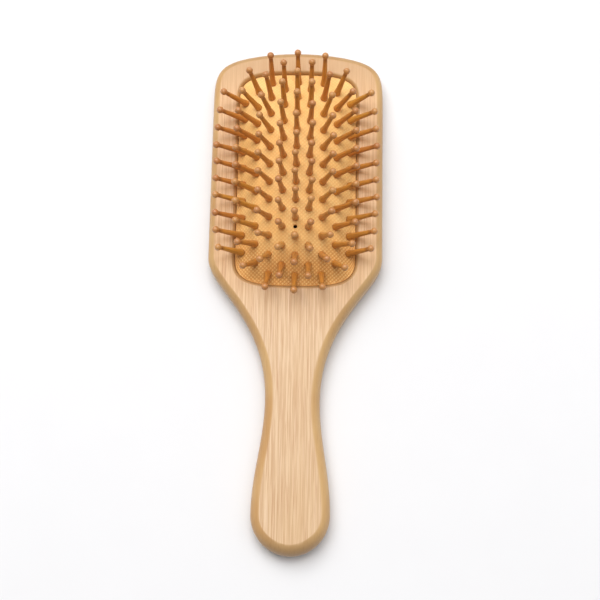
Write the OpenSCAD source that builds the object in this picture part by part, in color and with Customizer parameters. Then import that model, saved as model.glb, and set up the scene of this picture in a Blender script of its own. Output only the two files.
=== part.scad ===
// Bamboo paddle hair brush.
// The body is one flat board: a broad head that narrows to a handle, with rounded-over edges.
// A domed rubber cushion sits in a pocket of the head and carries nine staggered columns of turned pins,
// which fan outward as the dome falls away. The brush lies on its flat back, with its pins pointing up.
// Frame: X across, Y from the handle end to the head, Z up out of the pin side.
// The origin is on the flat back, in the middle of the width and of the length.

/* [Body] */
// Overall length
length = 248.4; // [220:0.1:290]
// Width of the head
head_w = 84.5; // [72:0.5:100]
// Distance from the top of the head down to where the shoulders start
head_l = 107; // [98:0.1:120]
// Thickness of the board
board_t = 12; // [10:0.5:16]
// Radius that rounds the edge of the pin side
edge_r = 5; // [2:0.25:6]
// Radius that rounds the edge of the back
back_r = 3; // [1:0.25:4]
// Width of the neck, at its narrowest
neck_w = 26; // [22:0.1:32]
// Distance from the handle end to the neck
neck_y = 72.2; // [60:0.5:85]
// Width of the grip, at its widest
grip_w = 37; // [32:0.2:46]
// Distance from the handle end to the widest part of the grip
grip_y = 19; // [15:0.5:26]
// How far the neck runs on before it flares
flare_l = 40.2; // [25:0.2:44]
// How much of the side's length the shoulder's turn takes
shoulder_l = 14; // [8:0.5:20]
// Length of a top corner, measured along the side
corner_l = 39; // [25:1:45]
// How square a top corner is
corner_n = 8.1; // [4:0.1:9]
// How far the top edge arches
arch = 7.1; // [3:0.1:9]

/* [Pocket] */
// Width of the wood beside the pocket
border_w = 13; // [11:0.5:16]
// Width of the wood above the pocket
border_top = 11.9; // [10:0.1:15]
// Length of the pocket's mouth
pocket_l = 109.2; // [100:0.2:114]
// Depth of the pocket below the face
pocket_depth = 7; // [6.5:0.1:8]
// Radius that rounds the pocket's lip
lip_r = 1.8; // [1:0.1:2.5]
// Length of a pocket corner, measured along the side
pocket_corner_l = 16; // [10:0.5:20]
// How square a pocket corner is
pocket_corner_n = 4; // [3:0.1:5]
// How far the pocket's ends arch
pocket_arch = 1.2; // [0:0.1:3]
// How far the groove for the cushion's rim cuts into the pocket's wall
groove_d = 1.6; // [1:0.1:2.5]
// Height of that groove
groove_h = 2; // [1.5:0.1:2.5]

/* [Cushion] */
// Height of the dome above the cushion's edge
dome_h = 9; // [6:0.25:12]
// How far the cushion's edge lies below the face of the wood
edge_drop = 1.6; // [1:0.1:2.4]
// Thickness of the rubber, measured upright
membrane_t = 1.8; // [1.4:0.1:2.4]
// Width of the flat ledge beside the dome
ledge_x = 1.8; // [1.5:0.1:3]
// Width of the flat ledge at each end of the dome
ledge_y = 3.1; // [2.5:0.1:5]
// How flat the dome is across
dome_px = 3; // [2:0.1:4]
// How flat the dome is lengthwise
dome_py = 3.5; // [2:0.1:5]
// Diameter of the vent hole
vent_d = 2; // [1:0.1:3]
// Which gap of the centre column holds the vent, counted in rows from the middle towards the handle
vent_row = 3; // [1:1:4]

/* [Pins] */
// Length of a pin from the rubber to the centre of its ball tip
pin_l = 16.4; // [13:0.1:20]
// Diameter of the ball tip
ball_d = 3.4; // [2.6:0.1:3.8]
// Diameter of the shaft above its foot
shaft_d = 2.8; // [2:0.1:3]
// Diameter of the shaft below its ball tip
tip_d = 2; // [1.5:0.1:2.3]
// Diameter of the foot collar that rests on the rubber
foot_d = 3.6; // [3:0.1:4]
// Height of the foot collar's straight part
foot_h = 0.8; // [0.6:0.1:1.5]
// Height over which the foot narrows to the shaft
foot_taper = 3; // [2:0.1:5]
// Diameter of the neck inside the rubber
neck_d = 2; // [1.6:0.1:2.2]
// Diameter of the flange below the rubber
flange_d = 3.2; // [2.6:0.1:3.6]
// Thickness of that flange
flange_t = 0.8; // [0.6:0.1:1]
// Gap between the outer columns' feet and the pocket's side
edge_gap_x = 3.6; // [3:0.1:6]
// Gap between the last rows' feet and the pocket's end
edge_gap_y = 5.2; // [4.6:0.1:8]
// How much closer together the rows of the outermost columns are
outer_squeeze = 0.05; // [0:0.01:0.08]
// How much more the pins fan out than the dome slopes
fan_gain = 1.45; // [1:0.05:1.7]

/* [Hidden] */
eps = 0.01;
// Clearance round the neck of a pin, and round the cushion in its pocket
neck_gap = 0.05;
cushion_gap = 0.1;
// How deep a foot collar sinks into its seat, and the play round it
seat_sink = 0.3;
seat_gap = 0.06;
// How far the tools that cut the feet's seats and the pocket's mouth reach past the surface
cut_over = 3;
// Room between the rubber's inner side and a pin's flange
flange_gap = 0.35;
// Steps in each curve of the outlines and in each rounded edge, and rings in the dome
steps = 20;
pocket_steps = 12;
side_steps = 10;
edge_steps = 5;
dome_steps = 11;
$fn = 32;

shoulder_y = length - head_l;
pocket_w = head_w - 2 * border_w;
pocket_y = length - border_top - pocket_l / 2;
pocket_floor = board_t - pocket_depth;
edge_z = board_t - edge_drop;
dome_a = pocket_w / 2 - ledge_x;
dome_b = pocket_l / 2 - ledge_y;
// Pins in a column, by its distance from the centre column
COLUMN_PINS = [12, 11, 12, 11, 10];
outermost = len(COLUMN_PINS) - 1;
col_pitch = (pocket_w / 2 - edge_gap_x) / outermost;
row_pitch = (pocket_l - 2 * edge_gap_y) / (COLUMN_PINS[0] - 1);
// Zones of a column by how far up the dome its pins stand. The outermost columns have no end rows.
ZONES = ["end", "second", "third", "middle"];
last_zone = len(ZONES) - 1;
function first_zone(c) = abs(c) == outermost ? 1 : 0;
function column_name(c) = c == 0 ? "centre" : str(c < 0 ? "left_" : "right_", abs(c));
function pins_name(c, zone) = str("pins_", column_name(c), "_", ZONES[zone]);

// ---- Outlines ----

// 0 to 1, starting and ending slowly: it spaces points evenly round a squared corner
function ease(u, k) = pow(u, k) / (pow(u, k) + pow(1 - u, k));

// Squared corner with an arched end, from the end's middle at s = 0 to the side at s = 1
function corner_point(s, half_w, len, n, rise) =
    let (t = 90 * ease(s, n / 2), x = half_w * pow(sin(t), 2 / n))
    [x, len * pow(cos(t), 2 / n) - rise * pow(x / half_w, 2)];

function bezier(p, u) =
    pow(1 - u, 3) * p[0] + 3 * u * pow(1 - u, 2) * p[1] + 3 * u * u * (1 - u) * p[2] + pow(u, 3) * p[3];

function mirrored(half) = concat(half, [for (i = [len(half) - 2:-1:1]) [-half[i].x, half[i].y]]);

// Right half of the body, from the handle end up to the top of the head
function body_half() = concat(
    [for (i = [0:steps]) [grip_w / 2 * sin(90 * i / steps), grip_y * (1 - cos(90 * i / steps))]],
    [for (i = [1:steps])
        [neck_w / 2 + (grip_w - neck_w) / 4 * (1 + cos(180 * i / steps)),
         grip_y + (neck_y - grip_y) * i / steps]],
    [for (i = [1:steps]) bezier([[neck_w / 2, neck_y], [neck_w / 2, neck_y + flare_l],
        [head_w / 2, shoulder_y - shoulder_l], [head_w / 2, shoulder_y]], i / steps)],
    [for (i = [steps:-1:0])
        [0, length - corner_l] + corner_point(i / steps, head_w / 2, corner_l, corner_n, arch)]);

// Right half of the pocket's mouth, about its own middle
function pocket_half() =
    let (straight = pocket_l / 2 - pocket_corner_l - pocket_arch,
         top = [for (i = [0:pocket_steps]) [0, straight + pocket_arch]
            + corner_point(i / pocket_steps, pocket_w / 2, pocket_corner_l, pocket_corner_n, pocket_arch)])
    concat(
        [for (p = top) [p.x, -p.y]],
        [for (i = [1:side_steps - 1]) [pocket_w / 2, straight * (2 * i / side_steps - 1)]],
        [for (i = [pocket_steps:-1:0]) top[i]]);

// The outline moved inward by d, or outward where d is negative
function inset(outline, d) =
    let (n = len(outline))
    [for (i = [0:n - 1])
        let (t = outline[(i + 1) % n] - outline[(i + n - 1) % n])
        outline[i] + d * [-t.y, t.x] / norm(t)];

// ---- Solids made of rings ----

function lifted(outline, z) = [for (p = outline) [p.x, p.y, z]];

// Closed solid through a list of rings that run round the same way. The end faces are strips across
// the mirror line, so that they follow a waisted outline.
module loft(rings) {
    n = len(rings[0]);
    last = (len(rings) - 1) * n;
    walls = [for (k = [0:len(rings) - 2], i = [0:n - 1])
        let (a = k * n + i, b = k * n + (i + 1) % n)
        each [[a, a + n, b + n], [a, b + n, b]]];
    strips = [for (i = [0:n / 2 - 1]) let (j = (n - i) % n, m = n - i - 1)
        each [if (j != i) [i, i + 1, j], if (m != i + 1) [i + 1, m, j]]];
    polyhedron(
        points = [for (ring = rings) each ring],
        faces = concat(walls, strips, [for (f = strips) [last + f[2], last + f[1], last + f[0]]]));
}

// ---- Dome and pins ----

function dome_rise(x, y) =
    dome_h * (1 - pow(min(abs(x) / dome_a, 1), dome_px)) * (1 - pow(min(abs(y) / dome_b, 1), dome_py));

// Direction of a pin that stands at x, y: the dome's normal, with its slope gained
function pin_axis(x, y) =
    let (u = abs(x) / dome_a, v = abs(y) / dome_b,
         sx = dome_h * dome_px * pow(u, dome_px - 1) / dome_a * (1 - pow(v, dome_py)),
         sy = dome_h * dome_py * pow(v, dome_py - 1) / dome_b * (1 - pow(u, dome_px)))
    [sign(x) * sx * fan_gain, sign(y) * sy * fan_gain, 1];

// Foot of the pin in row j of column c, about the pocket's middle. Row 0 is the one nearest the top.
function pin_foot(c, j) =
    let (row = (COLUMN_PINS[abs(c)] - 1) / 2 - j)
    [c * col_pitch, row * row_pitch * (1 - outer_squeeze * pow(c / outermost, 2))];

// Moves the brush, drawn with its handle end at y = 0, so that the middle of its length is at the origin
module centred() translate([0, -length / 2, 0]) children();

// Places its child with its origin on the rubber and its +Z along the pin
module at_pin(c, j) {
    foot = pin_foot(c, j);
    axis = pin_axis(foot.x, foot.y);
    translate([foot.x, pocket_y + foot.y, edge_z + dome_rise(foot.x, foot.y)])
        rotate([0, atan2(norm([axis.x, axis.y]), axis.z), atan2(axis.y, axis.x)])
            children();
}

// Rows of a column that lie in a zone: one row at each end, or all that is left for the middle zone
function zone_rows(c, zone) =
    let (n = COLUMN_PINS[abs(c)], first = zone - first_zone(c))
    zone < last_zone ? [first, n - 1 - first] : [for (j = [first:n - 1 - first]) j];

// ---- Sub-parts ----

module body() {
    outline = mirrored(body_half());
    mouth = [for (p = mirrored(pocket_half())) p + [0, pocket_y]];
    color([0.90, 0.75, 0.54])
    centred()
    difference() {
        loft(concat(
            [for (i = [0:edge_steps - 1]) let (t = 90 * i / edge_steps)
                lifted(inset(outline, back_r * (1 - sin(t))), back_r * (1 - cos(t)))],
            [lifted(outline, back_r)],
            [for (i = [0:edge_steps]) let (t = 90 * i / edge_steps)
                lifted(inset(outline, edge_r * (1 - cos(t))), board_t - edge_r * (1 - sin(t)))]));
        loft(concat(
            [lifted(inset(mouth, -groove_d), pocket_floor),
             lifted(inset(mouth, -groove_d), pocket_floor + groove_h),
             lifted(mouth, pocket_floor + groove_h + eps)],
            [for (i = [0:edge_steps]) let (t = 90 * i / edge_steps)
                lifted(inset(mouth, -lip_r * (1 - cos(t))), board_t - lip_r * (1 - sin(t)))],
            [lifted(inset(mouth, -lip_r), board_t + cut_over)]));
    }
}

// Size of ring k of the dome, from 0 in the middle to 1 at the edge, closer together towards the edge
function ring_scale(k) = sin(90 * k / dome_steps);

// One ring of the dome: the pocket's mouth shrunk by s, laid on the dome and sunk by drop
function dome_ring(mouth, s, drop) =
    [for (p = mouth) [p.x * s, p.y * s + pocket_y, edge_z - drop + dome_rise(p.x * s, p.y * s)]];

module cushion() {
    mouth = inset(mirrored(pocket_half()), cushion_gap);
    inner = inset(mouth, membrane_t);
    rim_reach = groove_d - 2 * cushion_gap;
    rim_z = pocket_floor + cushion_gap;
    rim_top = pocket_floor + groove_h - cushion_gap;
    move = [0, pocket_y];
    color([0.93, 0.70, 0.42])
    centred()
    difference() {
        loft(concat(
            [for (k = [1:dome_steps]) dome_ring(inner, ring_scale(k), membrane_t)],
            [lifted([for (p = inner) p + move], rim_z),
             lifted([for (p = inset(mouth, -rim_reach)) p + move], rim_z),
             lifted([for (p = inset(mouth, -rim_reach)) p + move], rim_top),
             lifted([for (p = mouth) p + move], rim_top + eps)],
            [for (k = [dome_steps:-1:1]) dome_ring(mouth, ring_scale(k), 0)]));
        for (c = [-outermost:outermost], j = [0:COLUMN_PINS[abs(c)] - 1])
            at_pin(c, j) {
                translate([0, 0, -2 * membrane_t])
                    cylinder(d = neck_d + 2 * neck_gap, h = 4 * membrane_t);
                translate([0, 0, -seat_sink - seat_gap])
                    cylinder(d = foot_d + 2 * seat_gap, h = cut_over);
            }
        translate([0, pocket_y - vent_row * row_pitch, edge_z])
            cylinder(d = vent_d, h = 2 * dome_h);
    }
}

// One turned pin, standing along +Z with the rubber's surface at z = 0
module pin() {
    under = membrane_t + flange_gap;
    translate([0, 0, -under - flange_t]) cylinder(d = flange_d, h = flange_t);
    translate([0, 0, -under - eps]) cylinder(d = neck_d, h = under + eps);
    translate([0, 0, -seat_sink]) cylinder(d = foot_d, h = foot_h + seat_sink);
    translate([0, 0, foot_h]) cylinder(d1 = foot_d, d2 = shaft_d, h = foot_taper);
    translate([0, 0, foot_h + foot_taper - eps])
        cylinder(d1 = shaft_d, d2 = tip_d, h = pin_l - foot_h - foot_taper + eps);
    translate([0, 0, pin_l]) sphere(d = ball_d);
}

// The pins of one column that rise about equally high on the dome
module pins(c, zone) {
    color([0.70, 0.42, 0.18])
    centred()
    for (j = zone_rows(c, zone)) at_pin(c, j) pin();
}

body();
cushion();
for (c = [-outermost:outermost], zone = [first_zone(c):last_zone])
    pins(c, zone);
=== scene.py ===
# Bamboo paddle hair brush: the looks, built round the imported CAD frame.
# Sizes are in millimetres and repeat the part's own, and each mesh is scaled to metres when it is made.
# Lengthwise places are measured from the handle's end until a mesh is made.
import math
import random
import bmesh
import bpy
import numpy as np
from mathutils import Euler, Matrix, Vector
from mathutils.geometry import tessellate_polygon


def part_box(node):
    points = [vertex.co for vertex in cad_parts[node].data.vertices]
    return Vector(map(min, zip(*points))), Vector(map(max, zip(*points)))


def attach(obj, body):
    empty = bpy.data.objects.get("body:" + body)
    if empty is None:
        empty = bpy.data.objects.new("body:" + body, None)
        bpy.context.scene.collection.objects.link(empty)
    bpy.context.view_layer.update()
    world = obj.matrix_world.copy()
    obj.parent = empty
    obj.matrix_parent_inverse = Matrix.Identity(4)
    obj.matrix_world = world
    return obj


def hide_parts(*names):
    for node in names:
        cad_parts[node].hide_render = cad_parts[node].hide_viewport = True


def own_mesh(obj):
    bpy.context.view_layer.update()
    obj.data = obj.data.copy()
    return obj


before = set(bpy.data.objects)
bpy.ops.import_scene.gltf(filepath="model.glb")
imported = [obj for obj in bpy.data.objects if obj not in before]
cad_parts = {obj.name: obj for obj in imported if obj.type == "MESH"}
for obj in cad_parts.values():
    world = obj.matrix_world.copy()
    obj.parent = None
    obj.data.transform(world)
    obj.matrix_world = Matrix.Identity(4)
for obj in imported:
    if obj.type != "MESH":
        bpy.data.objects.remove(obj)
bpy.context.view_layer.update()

# ---- Sizes, in millimetres ----

MM = 0.001
body_low, body_high = (np.array(corner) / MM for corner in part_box("body"))
length = body_high[1] - body_low[1]
head_w = body_high[0] - body_low[0]
board_t = body_high[2]

# Body: outline. Each corner is a squared curve with its run and its power, on an arched end.
head_l = 107
neck_w = 26
neck_y = 72.2
grip_w = 37
grip_y = 19
flare_l = 40.2
shoulder_l = 14
corner_l = 39
corner_n = 8.1
arch = 7.1
shoulder_y = length - head_l

# Body: edges. The rounding over the pin side grows tighter from the grip to the top, and it meets the
# flat face at an angle, except at the handle's end, where it is sanded soft. A narrow support ring beside
# each rounding keeps the shading of the flat faces flat.
back_r = 3
end_r = 6
grip_r = 5.7
side_r = 4.3
top_r = 4.4
meet_angle = 17
end_meet_angle = 9
edge_steps = 11
back_steps = 7
support = 0.35

# Body: wood. It is laminated from strips, warmer in colour towards the head and browner above the pocket.
strip_w = 6.3
warm_reach = 25
brown_below = 20
brown_above = 6

# Pocket, with a rounded lip and an undercut groove for the cushion's rim. The last three values say how far
# the lip and the wall take the colours of the outer edges, as painted shade.
border_w = 13
border_top = 11.9
pocket_l = 109.2
pocket_depth = 7
lip_r = 1.8
pocket_corner_l = 16
pocket_corner_n = 4
pocket_arch = 1.2
groove_d = 1.6
groove_h = 2
lip_steps = 7
lip_shade_gold = 0.5
lip_shade_dark = 0.8
wall_shade_gold = 0.7
pocket_w = head_w - 2 * border_w
pocket_y = length - border_top - pocket_l / 2
pocket_floor = board_t - pocket_depth
straight = pocket_l / 2 - pocket_corner_l - pocket_arch

# Cushion: a dome over a flat ledge, with powers that say how square it is across and lengthwise. The vent is
# vent_row rows of pins below the pocket's middle.
dome_h = 9
edge_drop = 1.6
membrane_t = 1.8
ledge_x = 1.8
ledge_y = 3.1
dome_px = 3
dome_py = 3.5
vent_d = 2
vent_row = 3
vent_sides = 36
cushion_gap = 0.1
crease_blend = 0.03
cushion_edge_r = 0.45
INSIDE_RINGS = [1, 0.96, 0.88, 0.75, 0.55, 0.3]

# Cushion: grid and pressed pattern. The grid's lines stand closer together within cluster_w of the edge.
grid_step = 0.32
cluster_w = 1.2
cluster_steps = 8
weave_pitch = 1.36
weave_depth = 0.25
weave_power = 1.5
dimple_depth = 0.3
dimple_r = 2.6
edge_z = board_t - edge_drop
dome_a = pocket_w / 2 - ledge_x
dome_b = pocket_l / 2 - ledge_y

# Pins: nine columns, of which COLUMN_PINS counts the pins from the centre column outwards. ZONES names the
# groups of a column from its ends to its middle.
pin_l = 16.4
ball_d = 3.4
shaft_d = 2.8
tip_d = 2
foot_d = 3.6
foot_h = 0.8
foot_taper = 3
neck_d = 2
flange_d = 3.2
flange_t = 0.8
flange_gap = 0.35
seat_sink = 0.3
edge_gap_x = 3.6
edge_gap_y = 5.2
outer_squeeze = 0.05
fan_gain = 1.45
corner_soft = 0.25
neck_soft = 0.05
tip_soft = 0.35
pin_sides = 24
COLUMN_PINS = [12, 11, 12, 11, 10]
ZONES = ["end", "second", "third", "middle"]
outermost = len(COLUMN_PINS) - 1
last_zone = len(ZONES) - 1
col_pitch = (pocket_w / 2 - edge_gap_x) / outermost
row_pitch = (pocket_l - 2 * edge_gap_y) / (COLUMN_PINS[0] - 1)

# Pins: scatter from one to the next, in degrees of lean, in length and in the size of the ball
pin_seed = 31
lean_scatter = 0.6
length_scatter = 0.15
smallest_ball = 0.97
largest_ball = 1.02


# ---- Colours, as linear red, green, blue and alpha ----

# Bamboo: flat faces
straw = (0.75, 0.52, 0.305, 1)
tan = (0.59, 0.355, 0.18, 1)
strip_tan = (0.62, 0.375, 0.18, 1)
honey = (0.68, 0.45, 0.23, 1)
glue_line = (0.42, 0.24, 0.11, 1)
pale_fibre = (0.78, 0.56, 0.37, 1)
dark_fibre = (0.48, 0.22, 0.09, 1)
head_cast = (1.07, 0.97, 0.80, 1)
top_brown = (0.53, 0.30, 0.12, 1)

# Bamboo: rounded edges and walls. The brown is partly end grain and partly painted shade, and the pale tan
# is painted bounce light low on the sides.
gold = (0.53, 0.28, 0.095, 1)
pale_gold = (0.63, 0.385, 0.155, 1)
gold_fibre = (0.36, 0.19, 0.065, 1)
cut_end_and_shade_brown = (0.36, 0.20, 0.08, 1)
floor_bounce_tan = (0.66, 0.47, 0.29, 1)

# Rubber: two tones, painted shade for its grooves at the far end and on the handle's side, and its grit
amber = (0.98, 0.59, 0.205, 1)
pale_amber = (1.0, 0.66, 0.26, 1)
groove_shade_amber = (0.84, 0.44, 0.12, 1)
groove_shade_brown = (0.68, 0.275, 0.055, 1)
grit_brown = (0.62, 0.33, 0.12, 1)

# Pins: shafts and balls from dark to light, and the painted shade under the ball and at the foot
shaft_dark = (0.59, 0.21, 0.035, 1)
shaft_light = (0.68, 0.32, 0.045, 1)
shaft_grain = (0.30, 0.105, 0.018, 1)
ball_dark = (0.50, 0.19, 0.05, 1)
ball_light = (0.62, 0.30, 0.08, 1)
ball_grain = (0.30, 0.11, 0.04, 1)
neck_shade = (0.26, 0.085, 0.018, 1)
foot_shade = (0.30, 0.10, 0.02, 1)
pin_spot = (0.55, 0.22, 0.07, 1)

# Floor
paper_grey = (0.84, 0.835, 0.845, 1)
paper_white = (0.86, 0.855, 0.865, 1)


# ---- Outlines ----

def ease(u, k):
    """Moves even shares from 0 to 1 towards both ends."""
    return u ** k / (u ** k + (1 - u) ** k)


def smooth(low, high, value):
    """A smooth step from 0 at low to 1 at high, either of which may be the larger."""
    t = np.clip((value - low) / (high - low), 0, 1)
    return t * t * (3 - 2 * t)


def corner(steps, half_w, run, n, rise):
    """Squared corner with an arched end, from the end's middle round to the side."""
    t = math.pi / 2 * ease(np.linspace(0, 1, steps + 1), n / 2)
    x = half_w * np.sin(t) ** (2 / n)
    return np.stack([x, run * np.cos(t) ** (2 / n) - rise * (x / half_w) ** 2], 1)


def bezier(points, steps):
    u = np.linspace(0, 1, steps + 1)[:, None]
    a, b, c, d = (np.array(p, float) for p in points)
    return (1 - u) ** 3 * a + 3 * u * (1 - u) ** 2 * b + 3 * u * u * (1 - u) * c + u ** 3 * d


def mirrored(half):
    """Closed outline from its right half, which starts and ends on the centre line."""
    return np.concatenate([half, half[-2:0:-1] * [-1, 1]])


def normals(outline):
    """Unit vectors that point into the outline."""
    along = np.roll(outline, -1, 0) - np.roll(outline, 1, 0)
    inward = np.stack([-along[:, 1], along[:, 0]], 1)
    return inward / np.linalg.norm(inward, axis=1)[:, None]


def inset(outline, distance):
    """The outline moved inwards by a distance, or by one distance for each point."""
    return outline + normals(outline) * np.reshape(distance, (-1, 1))


def body_outline(steps=44, side_steps=14):
    """Round handle end, waist, flare, straight side and arched top."""
    u = np.linspace(0, 1, steps + 1)
    end = np.stack([grip_w / 2 * np.sin(math.pi / 2 * u), grip_y * (1 - np.cos(math.pi / 2 * u))], 1)
    waist = np.stack([neck_w / 2 + (grip_w - neck_w) / 4 * (1 + np.cos(math.pi * u)),
                      grip_y + (neck_y - grip_y) * u], 1)
    flare = bezier([(neck_w / 2, neck_y), (neck_w / 2, neck_y + flare_l),
                    (head_w / 2, shoulder_y - shoulder_l), (head_w / 2, shoulder_y)], steps)
    top = corner(steps, head_w / 2, corner_l, corner_n, arch)[::-1] + [0, length - corner_l]
    side = np.linspace(flare[-1], top[0], side_steps + 1)
    return mirrored(np.concatenate([end, waist[1:], flare[1:], side[1:-1], top]))


def pocket_outline(steps=26, side_steps=24):
    top = corner(steps, pocket_w / 2, pocket_corner_l, pocket_corner_n, pocket_arch)
    top = top + [0, straight + pocket_arch]
    side = np.linspace(top[-1] * [1, -1], top[-1], side_steps + 1)
    return mirrored(np.concatenate([top * [1, -1], side[1:-1], top[::-1]])) + [0, pocket_y]


def lifted(outline, z):
    """The outline's points at height z, or at one height for each point."""
    return np.column_stack([outline, np.broadcast_to(z, len(outline))])


# ---- Meshes ----

class Shell:
    """Points and faces of one mesh, in millimetres, with named values at its points."""

    def __init__(self, *names):
        self.count = 0
        self.points = []
        self.faces = []
        self.values = {name: [] for name in names}

    def add(self, points, **values):
        """Adds points and returns their numbers."""
        points = np.asarray(points, float)
        self.points.append(points)
        for name, kept in self.values.items():
            kept.append(np.broadcast_to(values.get(name, 0.0), len(points)))
        first = self.count
        self.count += len(points)
        return np.arange(first, self.count)

    def bridge(self, low, high):
        """Quads between two closed rings of the same count."""
        quads = np.stack([low, np.roll(low, -1), np.roll(high, -1), high], 1)
        self.faces += quads.tolist()

    def join(self, rings):
        """Quads from each ring to the next."""
        for low, high in zip(rings, rings[1:]):
            self.bridge(low, high)

    def fill(self, *loops):
        """Triangles over a flat face, whose first loop is its edge and whose others are holes."""
        every = np.concatenate(self.points)
        numbers = np.concatenate(loops)
        polygons = [[Vector(every[i]) for i in loop] for loop in loops]
        for triangle in tessellate_polygon(polygons):
            self.faces.append([int(numbers[i]) for i in triangle])

    def finish(self, name, material, sharp_angle=40):
        """Makes the object, in metres, with the middle of the brush's length at the origin."""
        points = (np.concatenate(self.points) - [0, length / 2, 0]) * MM
        mesh = bpy.data.meshes.new(name)
        mesh.from_pydata(points.tolist(), [], self.faces)
        for key, kept in self.values.items():
            layer = mesh.attributes.new(key, "FLOAT", "POINT")
            layer.data.foreach_set("value", np.concatenate(kept).astype(np.float32))
        work = bmesh.new()
        work.from_mesh(mesh)
        bmesh.ops.recalc_face_normals(work, faces=work.faces)
        work.to_mesh(mesh)
        work.free()
        mesh.shade_smooth()
        mesh.set_sharp_from_angle(angle=math.radians(sharp_angle))
        mesh.materials.append(material)
        piece = bpy.data.objects.new(name, mesh)
        bpy.context.scene.collection.objects.link(piece)
        return piece


def settle(piece, body, slot, *nodes):
    """Says what a piece rides on and which CAD nodes it stands for. The slot argument is not used."""
    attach(piece, body)
    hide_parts(*nodes)


# ---- Material tools ----

def new_material(name):
    material = bpy.data.materials.new(name)
    material.use_nodes = True
    material.node_tree.nodes.clear()
    return material, material.node_tree


def node(tree, kind, inputs=None, **settings):
    """Adds a node. Its inputs are given by name or number, as values or as sockets to link."""
    made = tree.nodes.new("ShaderNode" + kind)
    for key, value in settings.items():
        setattr(made, key, value)
    for key, value in (inputs or {}).items():
        if isinstance(value, bpy.types.NodeSocket):
            tree.links.new(value, made.inputs[key])
        else:
            made.inputs[key].default_value = value
    return made


def calc(tree, operation, a, b=0.0):
    """One step of arithmetic."""
    return node(tree, "Math", {0: a, 1: b}, operation=operation).outputs[0]


def remap(tree, value, low, high, to_low=0.0, to_high=1.0):
    """A smooth step from to_low at low to to_high at high."""
    sockets = {"Value": value, "From Min": low, "From Max": high, "To Min": to_low, "To Max": to_high}
    return node(tree, "MapRange", sockets, interpolation_type="SMOOTHSTEP").outputs[0]


def mix(tree, factor, a, b, blend="MIX"):
    """Colour from a to b. Inputs 6 and 7 and output 2 are a Mix node's colour sockets."""
    return node(tree, "Mix", {0: factor, 6: a, 7: b}, data_type="RGBA", blend_type=blend).outputs[2]


def stretched(tree, vector, scale):
    """The vector scaled along X, Y and Z, so that a small scale draws a noise out."""
    return node(tree, "Mapping", {"Vector": vector, "Scale": scale}).outputs[0]


def noise(tree, vector, detail=3.0, roughness=0.5, scale=1.0):
    sockets = {"Vector": vector, "Scale": scale, "Detail": detail, "Roughness": roughness}
    return node(tree, "TexNoise", sockets).outputs[0]


def point_value(tree, name):
    """One of the named values that a Shell keeps at its points."""
    return node(tree, "Attribute", attribute_name=name).outputs["Fac"]


def bump(tree, height, strength, distance_mm):
    sockets = {"Height": height, "Strength": strength, "Distance": distance_mm * MM}
    return node(tree, "Bump", sockets).outputs[0]


def surface(tree, colour, roughness, normal, **fixed):
    """The shader and the output. What is the same all over is set on the shader's own sockets."""
    sockets = {"Base Color": colour, "Roughness": roughness, "Normal": normal}
    sockets.update({key.replace("_", " "): value for key, value in fixed.items()})
    shader = node(tree, "BsdfPrincipled", sockets)
    node(tree, "OutputMaterial", {"Surface": shader.outputs[0]})


# ---- Materials ----

def bamboo_face(tree, place, fine, broad, fibre, cloud):
    """Colour of the flat faces: glued strips that differ in tone, with pale and dark fibre along them."""
    pale = noise(tree, stretched(tree, place, (1500, 26, 700)), 2.0, 0.5)
    across, lengthwise = node(tree, "SeparateXYZ", {0: place}).outputs[:2]
    wander = calc(tree, "MULTIPLY", calc(tree, "SUBTRACT", broad, 0.5), 0.25)
    strip = calc(tree, "ADD", calc(tree, "MULTIPLY", across, 1 / (strip_w * MM)), wander)
    tone = node(tree, "TexWhiteNoise", {"W": calc(tree, "FLOOR", strip)}, noise_dimensions="1D").outputs[0]
    off_middle = calc(tree, "ABSOLUTE", calc(tree, "SUBTRACT", calc(tree, "FRACT", strip), 0.5))
    seam = remap(tree, off_middle, 0.47, 0.5)

    face = mix(tree, remap(tree, fine, 0.38, 0.62), straw, tan)
    face = mix(tree, calc(tree, "MULTIPLY", tone, 0.30), face, strip_tan)
    face = mix(tree, remap(tree, cloud, 0.45, 0.75, 0.0, 0.25), face, honey)
    face = mix(tree, calc(tree, "MULTIPLY", seam, 0.20), face, glue_line)
    face = mix(tree, remap(tree, pale, 0.55, 0.75, 0.0, 0.5), face, pale_fibre)
    face = mix(tree, remap(tree, fibre, 0.58, 0.70, 0.0, 0.65), face, dark_fibre)

    warmer = remap(tree, lengthwise, -warm_reach * MM, warm_reach * MM)
    face = mix(tree, warmer, face, head_cast, "MULTIPLY")
    pocket_top = length / 2 - border_top
    low, high = (pocket_top - brown_below) * MM, (pocket_top + brown_above) * MM
    return mix(tree, remap(tree, lengthwise, low, high, 0.0, 0.8), face, top_brown)


def bamboo_edge(tree, fibre, cloud):
    """Colour of the rounded edges: golden, and browner where the strips are cut across, which is partly end
    grain and partly painted shade.
    """
    golden = mix(tree, remap(tree, cloud, 0.35, 0.65), gold, pale_gold)
    golden = mix(tree, remap(tree, fibre, 0.5, 0.8, 0.0, 0.3), golden, gold_fibre)
    return mix(tree, point_value(tree, "end_grain"), golden, cut_end_and_shade_brown)


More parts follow.
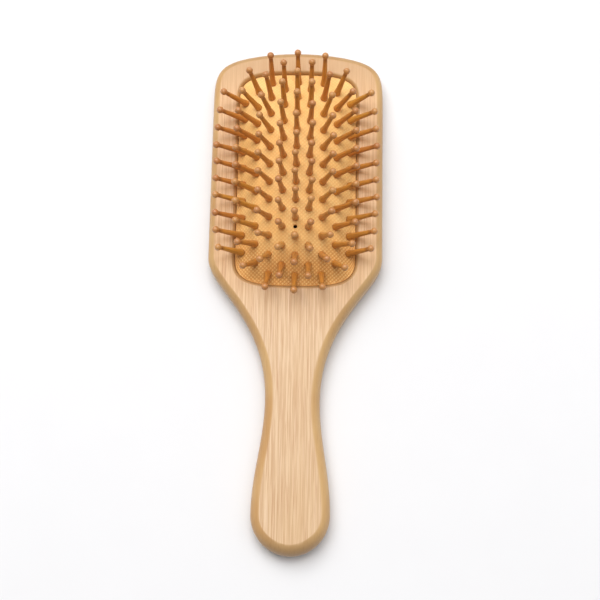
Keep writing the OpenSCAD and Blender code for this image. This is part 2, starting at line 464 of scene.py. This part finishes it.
def bamboo():
    """Laminated bamboo with a thin lacquer. Its noises are drawn out along the grain."""
    material, tree = new_material("bamboo")
    place = node(tree, "TexCoord").outputs["Object"]
    fine = noise(tree, stretched(tree, place, (2000, 34, 700)), 4.0, 0.62)
    broad = noise(tree, stretched(tree, place, (210, 7, 120)), 2.0, 0.5)
    fibre = noise(tree, stretched(tree, place, (1900, 36, 900)), 2.0, 0.55)
    cloud = noise(tree, stretched(tree, place, (60, 30, 60)), 3.0, 0.5)
    face = bamboo_face(tree, place, fine, broad, fibre, cloud)
    golden = bamboo_edge(tree, fibre, cloud)

    edge = point_value(tree, "edge")
    ragged = calc(tree, "MULTIPLY", edge, remap(tree, broad, 0.2, 0.8, 0.5, 1.6))
    colour = mix(tree, remap(tree, ragged, 0.0, 0.16, 0.0, 0.86), face, golden)
    # Painted bounce light: the low sides and the back's rounding are made paler, as if lit by the floor.
    colour = mix(tree, remap(tree, edge, 0.8, 0.98, 0.0, 0.5), colour, floor_bounce_tan)
    grain = calc(tree, "ADD", fine, calc(tree, "MULTIPLY", fibre, 0.6))
    surface(tree, colour, remap(tree, fine, 0.3, 0.7, 0.40, 0.52), bump(tree, grain, 0.16, 0.12),
            Coat_Weight=0.12, Coat_Roughness=0.28)
    return material


def rubber():
    """Matt natural rubber, with shade painted into the grooves of its pattern and along its rim, most
    towards the handle.
    """
    material, tree = new_material("cushion_rubber")
    place = node(tree, "TexCoord").outputs["Object"]
    cloud = noise(tree, stretched(tree, place, (90, 60, 90)), 3.0, 0.55)
    grit = noise(tree, stretched(tree, place, (3200, 3200, 3200)), 2.0, 0.6)
    groove = point_value(tree, "groove")
    slope = point_value(tree, "slope")
    base = mix(tree, remap(tree, cloud, 0.35, 0.65), amber, pale_amber)
    # Painted shade: the grooves and the rim are darkened, most towards the handle.
    dark = mix(tree, slope, groove_shade_amber, groove_shade_brown)
    shade = calc(tree, "MULTIPLY", groove, remap(tree, slope, 0.0, 1.0, 0.4, 1.0))
    colour = mix(tree, shade, base, dark)
    colour = mix(tree, remap(tree, grit, 0.4, 0.75, 0.0, 0.1), colour, grit_brown)
    surface(tree, colour, remap(tree, grit, 0.3, 0.7, 0.62, 0.78), bump(tree, grit, 0.2, 0.05),
            Specular_IOR_Level=0.35)
    return material


def pin_wood():
    """Turned and waxed wood. Each pin has its own tone and its own place in the grain, along its axis.
    Shade is painted at its foot and where the shaft meets the ball."""
    material, tree = new_material("pin_wood")
    east, north, up = (point_value(tree, name) for name in ("px", "py", "pz"))
    local = node(tree, "CombineXYZ", {0: east, 1: north, 2: up}).outputs[0]
    tone = point_value(tree, "tone")
    grain = noise(tree, stretched(tree, local, (2.6, 2.6, 0.16)), 3.0, 0.6)
    spots = noise(tree, stretched(tree, local, (0.9, 0.9, 0.5)), 2.0, 0.5)
    shaft = mix(tree, tone, shaft_dark, shaft_light)
    shaft = mix(tree, remap(tree, grain, 0.35, 0.7, 0.0, 0.55), shaft, shaft_grain)
    ball = mix(tree, tone, ball_dark, ball_light)
    ball = mix(tree, remap(tree, grain, 0.4, 0.7, 0.0, 0.5), ball, ball_grain)
    is_ball = point_value(tree, "ball")
    colour = mix(tree, is_ball, shaft, ball)
    neck = calc(tree, "MULTIPLY", is_ball, calc(tree, "SUBTRACT", 1.0, is_ball))
    # Painted shade under the ball, where the shaft meets it.
    colour = mix(tree, calc(tree, "MULTIPLY", neck, 2.6), colour, neck_shade)
    # Painted shade at the foot.
    colour = mix(tree, remap(tree, up, -0.2, 0.9, 0.65, 0.0), colour, foot_shade)
    colour = mix(tree, remap(tree, spots, 0.5, 0.8, 0.0, 0.35), colour, pin_spot)
    surface(tree, colour, remap(tree, grain, 0.3, 0.7, 0.34, 0.48), bump(tree, grain, 0.15, 0.08),
            Coat_Weight=0.35, Coat_Roughness=0.2)
    return material


def paper():
    """The pale, seamless sheet that the brush lies on."""
    material, tree = new_material("pale_floor")
    place = node(tree, "TexCoord").outputs["Object"]
    fine = noise(tree, place, 2.0, 0.5, 40.0)
    colour = mix(tree, fine, paper_grey, paper_white)
    surface(tree, colour, remap(tree, fine, 0.2, 0.8, 0.75, 0.85), bump(tree, fine, 0.02, 0.05),
            Specular_IOR_Level=0.1)
    return material


# ---- Body ----

def edge_profile(outline):
    """Radius of the rounding at each point of the outline, and the angle at which it meets the face."""
    y = outline[:, 1]
    soft_stretch = grip_y * 0.8
    top_start = length - corner_l * 0.75
    top_full = length - arch * 0.9
    end = 1 - smooth(0, soft_stretch, y)
    top = smooth(top_start, top_full, y) * np.abs(normals(outline)[:, 1])
    radius = grip_r + (side_r - grip_r) * smooth(neck_y, shoulder_y, y)
    radius = radius + (end_r - radius) * end
    radius = radius + (top_r - radius) * top
    return radius, np.radians(meet_angle + (end_meet_angle - meet_angle) * end)


def body_outside(shell):
    """Rings from the back round the side to the flat face. Returns the last one."""
    outline = body_outline()
    # Darker across the handle's end and the head's top: partly end grain, partly painted shade.
    cut_ends_and_shade = smooth(0.3, 1, np.abs(normals(outline)[:, 1]))
    radius, meet = edge_profile(outline)
    shoulder_z = board_t - radius * np.cos(meet)
    rings = [shell.add(lifted(inset(outline, back_r + support), 0))]
    for t in np.linspace(0, math.pi / 2, back_steps + 1):
        ring = lifted(inset(outline, back_r * (1 - math.sin(t))), back_r * (1 - math.cos(t)))
        rings.append(shell.add(ring, edge=math.sin(t), end_grain=cut_ends_and_shade))
    for share in np.linspace(0, 1, edge_steps + 1):
        angle = math.pi / 2 + (meet - math.pi / 2) * share
        ring = lifted(inset(outline, radius * (1 - np.sin(angle))), shoulder_z + radius * np.cos(angle))
        rings.append(shell.add(ring, edge=1 - 0.9 * share, end_grain=cut_ends_and_shade * (1 - 0.5 * share)))
    face_edge = inset(outline, radius * (1 - np.sin(meet)) + support)
    rings.append(shell.add(lifted(face_edge, board_t)))
    shell.join(rings)
    shell.fill(rings[0])
    return rings[-1]


def body_pocket(shell):
    """Rings from the flat face round the lip and down into the groove. Returns the first one."""
    mouth = pocket_outline()
    groove = inset(mouth, -groove_d)
    rings = [shell.add(lifted(inset(mouth, -lip_r - support), board_t))]
    for t in np.linspace(math.pi / 2, 0, lip_steps + 1):
        ring = lifted(inset(mouth, -lip_r * (1 - math.cos(t))), board_t - lip_r * (1 - math.sin(t)))
        # Painted shade on the lip, in the golden and brown of the edges.
        rings.append(shell.add(ring, edge=lip_shade_gold * math.cos(t), end_grain=lip_shade_dark * math.cos(t)))
    groove_top = pocket_floor + groove_h
    # Painted shade on the pocket's walls.
    for ring, z in ((mouth, groove_top), (groove, groove_top), (groove, pocket_floor)):
        rings.append(shell.add(lifted(ring, z), edge=wall_shade_gold, end_grain=1))
    shell.join(rings)
    shell.fill(rings[-1])
    return rings[0]


def make_body():
    shell = Shell("edge", "end_grain")
    outer = body_outside(shell)
    inner = body_pocket(shell)
    shell.fill(outer, inner)
    piece = shell.finish("body_board", bamboo())
    settle(piece, "handle", "bamboo_board", "body")


# ---- Cushion ----

def fall(share, power):
    """Height of the dome along one way, from 1 in the middle to 0 past its edge, with a soft crease."""
    drop = 1 - np.abs(share) ** power
    return (drop + np.sqrt(drop ** 2 + crease_blend ** 2)) / 2


def dome_rise(x, y):
    """Height of the dome above the cushion's edge, y being measured from the pocket's middle."""
    return dome_h * fall(x / dome_a, dome_px) * fall(y / dome_b, dome_py)


def half_length(x):
    """Half of the cushion's length at x."""
    u = np.clip(np.abs(x) / (pocket_w / 2 - cushion_gap), 0, 1)
    corner_y = pocket_corner_l * (1 - u ** pocket_corner_n) ** (1 / pocket_corner_n)
    return straight + pocket_arch * (1 - u * u) + corner_y - cushion_gap


def graded(half):
    """Places from -half to half in even steps that grow finer at both ends."""
    even = np.linspace(0, half - cluster_w, round((half - cluster_w) / grid_step) + 1)
    fine = half - cluster_w * (1 - np.linspace(0, 1, cluster_steps + 1)) ** 2
    right = np.concatenate([even, fine[1:]])
    return np.concatenate([-right[:0:-1], right])


def pin_foot(c, j):
    """Where pin j of column c stands, y from the pocket's middle. Columns count from the centre."""
    row = (COLUMN_PINS[abs(c)] - 1) / 2 - j
    return np.array([c * col_pitch, row * row_pitch * (1 - outer_squeeze * (c / outermost) ** 2)])


def all_pins():
    return [(c, j) for c in range(-outermost, outermost + 1) for j in range(COLUMN_PINS[abs(c)])]


def run_lengths(points, axis):
    """Length of the surface along one direction of the grid, from the middle outwards."""
    steps = np.linalg.norm(np.diff(points, axis=axis), axis=2)
    total = np.insert(np.cumsum(steps, axis=axis), 0, 0, axis=axis)
    return total - np.take(total, [total.shape[axis] // 2], axis=axis)


def groove_at(run):
    """Depth of one set of grooves, from 0 on its ridges to 1."""
    return (0.5 + 0.5 * np.cos(2 * math.pi * run / weave_pitch)) ** weave_power


def diagonal_weave(points):
    """Depth of both sets of grooves, which keep their pitch over the dome."""
    along_x = run_lengths(points, 0)
    along_y = run_lengths(points, 1)
    one = groove_at((along_x + along_y) / math.sqrt(2))
    other = groove_at((along_x - along_y) / math.sqrt(2))
    return np.maximum(one, other)


def handle_side_depth_and_shade(share, height):
    """How deeply the weave is pressed and how much shade is painted into its grooves: more towards the
    handle, and most on the dome's slope there.
    """
    low_end = smooth(-0.4, -0.85, share)[None, :] * smooth(0.1, 0.7, 1 - height / dome_h)
    return 0.35 * smooth(0.95, 0, share)[None, :] + 0.65 * low_end


def cushion_surface():
    """Grid of points over the cushion, y from the pocket's middle, with its groove and slope values, which
    say where shade is painted.
    """
    x = graded(pocket_w / 2 - cushion_gap)
    share = graded(pocket_l / 2 - cushion_gap) / (pocket_l / 2 - cushion_gap)
    reach = half_length(x)
    x_grid = np.broadcast_to(x[:, None], (len(x), len(share)))
    y_grid = reach[:, None] * share[None, :]
    z_grid = dome_rise(x_grid, y_grid)
    groove = diagonal_weave(np.stack([x_grid, y_grid, z_grid], 2))
    slope = handle_side_depth_and_shade(share, z_grid)
    to_end = (reach[:, None] - np.abs(y_grid)) / np.sqrt(1 + np.gradient(reach, x)[:, None] ** 2)
    to_edge = np.minimum(pocket_w / 2 - cushion_gap - np.abs(x_grid), to_end)
    inside = smooth(0.1, 0.5, to_edge)
    for c, j in all_pins():
        foot = pin_foot(c, j)
        away = (x_grid - foot[0]) ** 2 + (y_grid - foot[1]) ** 2
        z_grid = z_grid - dimple_depth * np.exp(-away / dimple_r ** 2) * inside
    short = np.clip(cushion_edge_r - to_edge, 0, cushion_edge_r)
    z_grid = z_grid - cushion_edge_r + np.sqrt(cushion_edge_r ** 2 - short ** 2)
    z_grid = z_grid - weave_depth * groove * inside * (0.6 + 0.4 * slope)
    # Painted shade along the cushion's rim, where it meets the wood; it darkens the colour through the
    # groove value.
    seam = 1 - smooth(0, 0.5, to_edge)
    return np.stack([x_grid, y_grid, z_grid + edge_z], 2), np.maximum(groove * inside, seam), slope


def rim_of(numbers):
    """Numbers of a grid's outer points, in order round it."""
    return np.concatenate([numbers[:-1, 0], numbers[-1, :-1], numbers[:0:-1, -1], numbers[0, :0:-1]])


def cushion_top(shell):
    """Faces of the dome. Returns the numbers and the places of its outer points."""
    points, groove, slope = cushion_surface()
    flat = points.reshape(-1, 3)
    numbers = shell.add(flat + [0, pocket_y, 0], groove=groove.ravel(), slope=slope.ravel())
    numbers = numbers.reshape(groove.shape)
    quads = np.stack([numbers[:-1, :-1], numbers[1:, :-1], numbers[1:, 1:], numbers[:-1, 1:]], 2)
    shell.faces += quads.reshape(-1, 4).tolist()
    rim = rim_of(numbers)
    return rim, flat[rim][:, :2]


def cushion_inside(shell, rim, outline):
    """Skirt, rim flange and the underside of the membrane, from the dome's outer points inwards."""
    inner = inset(outline, membrane_t)
    flange = inset(outline, 2 * cushion_gap - groove_d)
    low_z = pocket_floor + cushion_gap
    high_z = pocket_floor + groove_h - cushion_gap
    rings = [rim]
    for ring, z in ((outline, high_z), (flange, high_z), (flange, low_z), (inner, low_z)):
        rings.append(shell.add(lifted(ring + [0, pocket_y], z), slope=1))
    for share in INSIDE_RINGS:
        ring = inner * share
        z = edge_z - membrane_t + dome_rise(ring[:, 0], ring[:, 1])
        rings.append(shell.add(lifted(ring + [0, pocket_y], z)))
    shell.join(rings)
    shell.fill(rings[-1])


def make_cushion():
    shell = Shell("groove", "slope")
    rim, outline = cushion_top(shell)
    cushion_inside(shell, rim, outline)
    piece = shell.finish("cushion_dome", rubber(), 60)
    drill_vent(piece)
    settle(piece, "handle", "cushion_rubber", "cushion")
    squash_like_joint(piece)


def drill_vent(piece):
    """Cuts the vent through the rubber."""
    work = bmesh.new()
    place = Vector((0, pocket_y - vent_row * row_pitch - length / 2, edge_z + dome_h)) * MM
    radius = vent_d / 2 * MM
    bmesh.ops.create_cone(work, cap_ends=True, segments=vent_sides, radius1=radius, radius2=radius,
                          depth=dome_h * MM, matrix=Matrix.Translation(place))
    mesh = bpy.data.meshes.new("vent_drill")
    work.to_mesh(mesh)
    work.free()
    drill = bpy.data.objects.new("vent_drill", mesh)
    bpy.context.scene.collection.objects.link(drill)
    cut = piece.modifiers.new("vent", "BOOLEAN")
    cut.object = drill
    cut.operation = "DIFFERENCE"
    cut.solver = "EXACT"
    bpy.context.view_layer.update()
    shown = piece.evaluated_get(bpy.context.evaluated_depsgraph_get())
    cut_mesh = bpy.data.meshes.new_from_object(shown)
    piece.modifiers.clear()
    piece.data = cut_mesh
    bpy.data.objects.remove(drill)


def squash_like_joint(piece):
    """Gives the piece its own copy of its mesh."""
    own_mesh(piece)


# ---- Pins ----

def pin_axis(x, y):
    """Direction of a pin: the dome's normal, with its slope gained."""
    u, v = abs(x) / dome_a, abs(y) / dome_b
    slope_x = dome_h * dome_px * u ** (dome_px - 1) / dome_a * (1 - v ** dome_py)
    slope_y = dome_h * dome_py * v ** (dome_py - 1) / dome_b * (1 - u ** dome_px)
    return Vector((np.sign(x) * slope_x * fan_gain, np.sign(y) * slope_y * fan_gain, 1)).normalized()


def arc(radius, centre, start, end, steps):
    """Profile points, as radius and height, along an arc of a circle centred on the axis or off it."""
    angles = np.radians(np.linspace(start, end, steps + 1))
    return np.stack([centre[0] + radius * np.cos(angles), centre[1] + radius * np.sin(angles)], 1)


def pin_profile(reach, ball_r):
    """Radius and height up one pin, from the flange under the rubber to the top of its ball."""
    under = -membrane_t - flange_gap
    flange_r, foot_r, shaft_r, tip_r = flange_d / 2, foot_d / 2, shaft_d / 2, tip_d / 2
    inner_r = flange_r - corner_soft
    flange = np.concatenate([arc(corner_soft, (inner_r, under - flange_t + corner_soft), -90, 0, 2),
                             arc(corner_soft, (inner_r, under - corner_soft), 0, 90, 2)])
    neck = np.array([(neck_d / 2, under + neck_soft), (neck_d / 2, -seat_sink - neck_soft)])
    foot_soft = 2 * corner_soft
    foot = arc(foot_soft, (foot_r - foot_soft, foot_soft - seat_sink), -90, 0, 4)
    z = np.linspace(foot_h, foot_h + foot_taper, 9)
    bulge = shaft_r + (foot_r - shaft_r) * (1 - smooth(foot_h - 0.6, foot_h + foot_taper, z)) ** 0.8
    join = reach - math.sqrt(ball_r ** 2 - tip_r ** 2)
    rise = np.linspace(z[-1], join - tip_soft, 6)[1:]
    shaft = shaft_r + (tip_r - shaft_r) * (rise - z[-1]) / (join - z[-1])
    start = math.degrees(math.atan2(join - reach, tip_r)) + 9
    ball = arc(ball_r, (0, reach), start, 88, 11)
    return np.concatenate([flange, neck, foot, np.stack([bulge, z], 1), np.stack([shaft, rise], 1), ball])


def add_pin(shell, c, j, draw):
    """One turned pin on the rubber, with a little scatter in its lean, its length and its tone."""
    foot = pin_foot(c, j)
    axis = pin_axis(*foot)
    lean_x, lean_y = (math.radians(draw.gauss(0, lean_scatter)) for _ in range(2))
    lean = Euler((lean_x, lean_y, 0)).to_matrix()
    reach = pin_l + draw.uniform(-length_scatter, length_scatter)
    ball_r = ball_d / 2 * draw.uniform(smallest_ball, largest_ball)
    tone = draw.betavariate(1.6, 1.8)
    grain_place = draw.uniform(0, 900)
    turn = (lean @ axis).to_track_quat("Z", "Y").to_matrix()
    height = edge_z + dome_rise(foot[0], foot[1]) - dimple_depth
    base = np.array([foot[0], pocket_y + foot[1], height])
    angles = np.linspace(0, 2 * math.pi, pin_sides, endpoint=False)
    rings = []
    for radius, z in pin_profile(reach + dimple_depth, ball_r):
        local = np.stack([radius * np.cos(angles), radius * np.sin(angles), np.full(pin_sides, z)], 1)
        whole = local @ np.array(turn).T + base
        is_ball = float(smooth(reach - ball_r, reach - ball_r * 0.6, z))
        rings.append(shell.add(whole, tone=tone, ball=is_ball, px=local[:, 0] + grain_place,
                               py=local[:, 1], pz=local[:, 2]))
    shell.join(rings)
    shell.faces.append(rings[0].tolist())
    shell.faces.append(rings[-1].tolist())


def pin_groups():
    """Node name, column and pins of each group, whose pins stand about equally high on the dome."""
    for c in range(-outermost, outermost + 1):
        side = "centre" if c == 0 else ("left_" if c < 0 else "right_") + str(abs(c))
        count = COLUMN_PINS[abs(c)]
        first_zone = 1 if abs(c) == outermost else 0
        for zone in range(first_zone, last_zone + 1):
            near = zone - first_zone
            pair = [near, count - 1 - near]
            yield f"pins_{side}_{ZONES[zone]}", c, pair if zone < last_zone else range(near, count - near)


def make_pins():
    wood = pin_wood()
    draw = random.Random(pin_seed)
    for name, c, pins in pin_groups():
        shell = Shell("tone", "ball", "px", "py", "pz")
        for j in pins:
            add_pin(shell, c, j, draw)
        piece = shell.finish("turned_" + name, wood, 50)
        settle(piece, name + "_group", "pin_wood", name)


# ---- Stage ----

def add_floor():
    """Large square just below the brush's back, so that the two don't share a plane."""
    half = 4.0
    height = -0.02 * MM
    mesh = bpy.data.meshes.new("floor")
    corners = [(x, y, height) for x, y in ((-half, -half), (half, -half), (half, half), (-half, half))]
    mesh.from_pydata(corners, [], [(0, 1, 2, 3)])
    mesh.materials.append(paper())
    floor = bpy.data.objects.new("floor", mesh)
    bpy.context.scene.collection.objects.link(floor)


def add_light(name, azimuth, elevation, distance, size, power):
    """Square soft light that faces the brush, from azimuth degrees clockwise of +Y, in metres and watts."""
    data = bpy.data.lights.new(name, "AREA")
    data.size = size
    data.energy = power
    light = bpy.data.objects.new(name, data)
    bpy.context.scene.collection.objects.link(light)
    turn, tip = math.radians(azimuth), math.radians(elevation)
    way = Vector((math.sin(turn) * math.cos(tip), math.cos(turn) * math.cos(tip), math.sin(tip)))
    target = Vector((0, 30 * MM, 0))
    light.location = target + way * distance
    light.rotation_euler = way.to_track_quat("Z", "Y").to_euler()


def add_world(near, far):
    """White surroundings, dimmer on the handle's side than beyond the head."""
    world = bpy.data.worlds.new("studio")
    world.use_nodes = True
    tree = world.node_tree
    way = node(tree, "SeparateXYZ", {0: node(tree, "TexCoord").outputs["Generated"]}).outputs[1]
    background = tree.nodes["Background"]
    tree.links.new(remap(tree, way, -1.0, 1.0, near, far), background.inputs["Strength"])
    background.inputs["Color"].default_value = (1, 1, 1, 1)
    bpy.context.scene.world = world


def add_camera():
    """Nearly straight above, tipped a little towards the handle, and offset from its aim on its own axes."""
    aim = Vector((0, 56.6, board_t)) * MM
    offset = Vector((1.7, -59.1, 600)) * MM
    roll, tip, lean = (math.radians(angle) for angle in (-1.09, -13.2, -1.32))
    tilt = Matrix.Rotation(roll, 3, "Z") @ Matrix.Rotation(tip, 3, "X") @ Matrix.Rotation(lean, 3, "Y")
    data = bpy.data.cameras.new("camera")
    data.lens = 73.5
    data.sensor_width = 36
    data.clip_start = 0.01
    camera = bpy.data.objects.new("camera", data)
    bpy.context.scene.collection.objects.link(camera)
    camera.matrix_world = Matrix.Translation(aim + tilt.transposed() @ offset) @ tilt.transposed().to_4x4()
    bpy.context.scene.camera = camera


add_camera()
make_body()
make_cushion()
make_pins()
add_floor()
add_light("key", azimuth=-24, elevation=62, distance=1.7, size=1.4, power=27)
add_light("fill", azimuth=70, elevation=66, distance=1.7, size=1.2, power=6)
add_world(near=0.23, far=0.5)
bpy.context.scene.view_settings.view_transform = "Standard"
